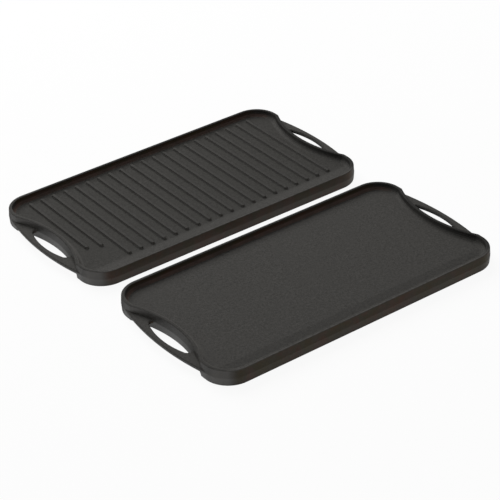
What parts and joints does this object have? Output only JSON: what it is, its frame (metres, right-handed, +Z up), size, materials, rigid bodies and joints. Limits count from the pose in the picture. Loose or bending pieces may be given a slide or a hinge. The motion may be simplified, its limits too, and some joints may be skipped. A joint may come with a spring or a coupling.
{
  "type": "griddle plate",
  "caption": "Reversible rimmed cast iron griddle plates, shown either way up: a flat cooking face with a grease slope, a ribbed face, and a loop handle at each end.",
  "frame": {"origin": "centre of the pair's footprint, on the surface that the plates rest on", "axes": "+Z up, +Y from the flat-face-up plate to the ribbed-face-up plate, +X along the plates from handle to handle"},
  "size_m": [0.511, 0.566, 0.0245],
  "materials": {
    "seasoned_iron": "sand-cast, seasoned black"
  },
  "bodies": {
    "front_plate": {"flat_face_up_plate": "seasoned_iron"},
    "rear_plate": {"ribbed_face_up_plate": "seasoned_iron"}
  },
  "joints": [
    {"name": "rear_plate_lift", "type": "slide", "parent": "front_plate", "child": "rear_plate", "axis": [0, 0, 1], "range_m": [0, 0.12]}
  ]
}
